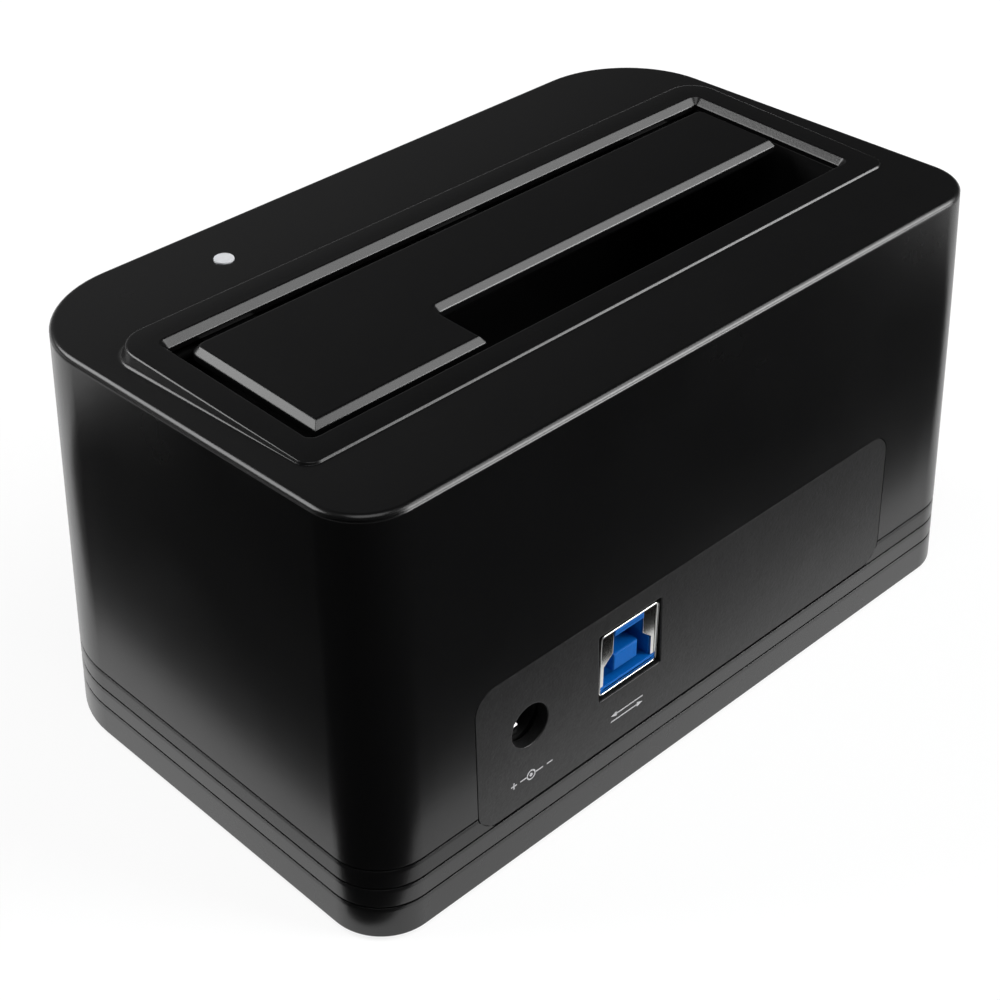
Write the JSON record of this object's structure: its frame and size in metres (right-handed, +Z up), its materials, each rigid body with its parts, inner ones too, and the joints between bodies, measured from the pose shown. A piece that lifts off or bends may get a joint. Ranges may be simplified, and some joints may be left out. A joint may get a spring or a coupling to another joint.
{
  "type": "hard drive docking station",
  "caption": "Upright black docking station with a top slot, a hinged L-shaped spring flap over its drive bay, a status light and a rear panel with a data port and a power inlet.",
  "frame": {"origin": "centre of the box that holds the dock, on the table under its feet", "axes": "+X along the slot, +Y towards the rear with the ports, +Z up"},
  "size_m": [0.1272, 0.0775, 0.0684],
  "materials": {
    "case_plastic": "satin black moulded plastic with a fine grain",
    "panel_plastic": "matt black moulded plastic",
    "bay_plastic": "matt black moulded plastic",
    "flap_plastic": "satin black moulded plastic",
    "steel": "blackened steel rod",
    "spring_steel": "blackened spring wire",
    "clear_plastic": "frosted white light guide",
    "lamp": "moulded lamp package",
    "board": "solder mask on glass fibre board",
    "connector_black": "moulded connector plastic",
    "contact_gold": "gold plated contact",
    "shell_metal": "nickel plated sheet",
    "usb_blue": "blue moulded insulator",
    "plated_metal": "nickel plated contact",
    "chip_black": "moulded chip package",
    "can_metal": "drawn metal can",
    "ferrite": "ferrite core",
    "capacitor_skin": "sleeved aluminium can",
    "ceramic_chip": "sintered chip capacitor",
    "screw_metal": "zinc plated screw",
    "screw_black": "blackened screw",
    "foot_rubber": "matt black rubber"
  },
  "bodies": {
    "case": {"body_sleeve": "case_plastic", "top_cover": "case_plastic", "base_tray": "case_plastic", "io_panel": "panel_plastic", "drive_bay": "bay_plastic", "hinge_pin": "steel", "light_pipe": "clear_plastic", "status_led": "lamp", "main_board": "board", "sata_housing": "connector_black", "sata_contacts": "contact_gold", "usb_shell": "shell_metal", "usb_insulator": "usb_blue", "usb_contacts": "contact_gold", "inlet_body": "connector_black", "inlet_pin": "plated_metal", "inlet_contact": "plated_metal", "bridge_chip": "chip_black", "memory_chip": "chip_black", "regulator_chip": "chip_black", "crystal": "can_metal", "power_inductor": "ferrite", "bulk_capacitors": "capacitor_skin", "small_capacitors": "ceramic_chip", "board_screws": "screw_metal", "bay_screws": "screw_metal", "case_screws": "screw_black", "rubber_feet": "foot_rubber"},
    "flap": {"flap": "flap_plastic", "flap_spring": "spring_steel"}
  },
  "joints": [
    {"name": "flap_hinge", "type": "hinge", "parent": "case", "child": "flap", "pos_m": [0, -0.01398, 0.06421], "axis": [-1, 0, 0], "range_deg": [0, 90], "stiffness_Nm_per_rad": 0.004, "springref_deg": -45.84}
  ]
}
